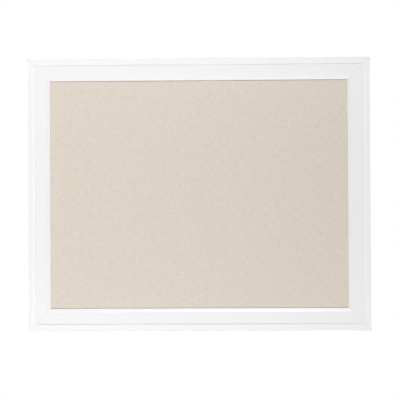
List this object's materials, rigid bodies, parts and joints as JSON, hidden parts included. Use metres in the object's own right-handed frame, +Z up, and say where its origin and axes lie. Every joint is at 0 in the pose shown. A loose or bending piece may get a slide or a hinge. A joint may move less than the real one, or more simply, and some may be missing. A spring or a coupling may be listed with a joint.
{
  "type": "memo board",
  "caption": "Wall-hung memo board: natural linen stretched over a pin panel in a white mitred moulding, with a backing board, ring hangers and bumpers behind.",
  "frame": {"origin": "centre of the board's overall box", "axes": "+X across the board to the viewer's right, +Y back towards the wall, +Z up; the linen faces -Y"},
  "size_m": [0.749, 0.0252, 0.597],
  "materials": {
    "white_paint": "satin white paint on wood",
    "linen": "undyed slubby linen weave, matt",
    "softboard": "pressed soft fibre board, matt",
    "hardboard": "smooth brown hardboard",
    "steel": "bright spring steel",
    "zinc_plate": "bright zinc plate",
    "bumper_rubber": "dull dark grey rubber"
  },
  "bodies": {
    "board": {"top_rail": "white_paint", "bottom_rail": "white_paint", "left_stile": "white_paint", "right_stile": "white_paint", "linen_cover": "linen", "pin_panel": "softboard", "backing_board": "hardboard", "framing_point_top_1": "steel", "framing_point_top_2": "steel", "framing_point_top_3": "steel", "framing_point_top_4": "steel", "framing_point_bottom_1": "steel", "framing_point_bottom_2": "steel", "framing_point_bottom_3": "steel", "framing_point_bottom_4": "steel", "framing_point_left_1": "steel", "framing_point_left_2": "steel", "framing_point_left_3": "steel", "framing_point_right_1": "steel", "framing_point_right_2": "steel", "framing_point_right_3": "steel", "corner_nail_top_left_outer": "steel", "corner_nail_top_left_inner": "steel", "corner_nail_top_right_outer": "steel", "corner_nail_top_right_inner": "steel", "corner_nail_bottom_left_outer": "steel", "corner_nail_bottom_left_inner": "steel", "corner_nail_bottom_right_outer": "steel", "corner_nail_bottom_right_inner": "steel", "left_hanger_strap": "zinc_plate", "left_hanger_screw": "zinc_plate", "right_hanger_strap": "zinc_plate", "right_hanger_screw": "zinc_plate", "left_wall_bumper": "bumper_rubber", "right_wall_bumper": "bumper_rubber"},
    "left_ring": {"left_hanger_ring": "zinc_plate"},
    "right_ring": {"right_hanger_ring": "zinc_plate"}
  },
  "joints": [
    {"name": "left_ring_swing", "type": "hinge", "parent": "board", "child": "left_ring", "pos_m": [-0.3545, 0.00995, 0.1485], "axis": [-1, 0, 0], "range_deg": [0, 178]},
    {"name": "right_ring_swing", "type": "hinge", "parent": "board", "child": "right_ring", "pos_m": [0.3545, 0.00995, 0.1485], "axis": [-1, 0, 0], "range_deg": [0, 178]}
  ]
}
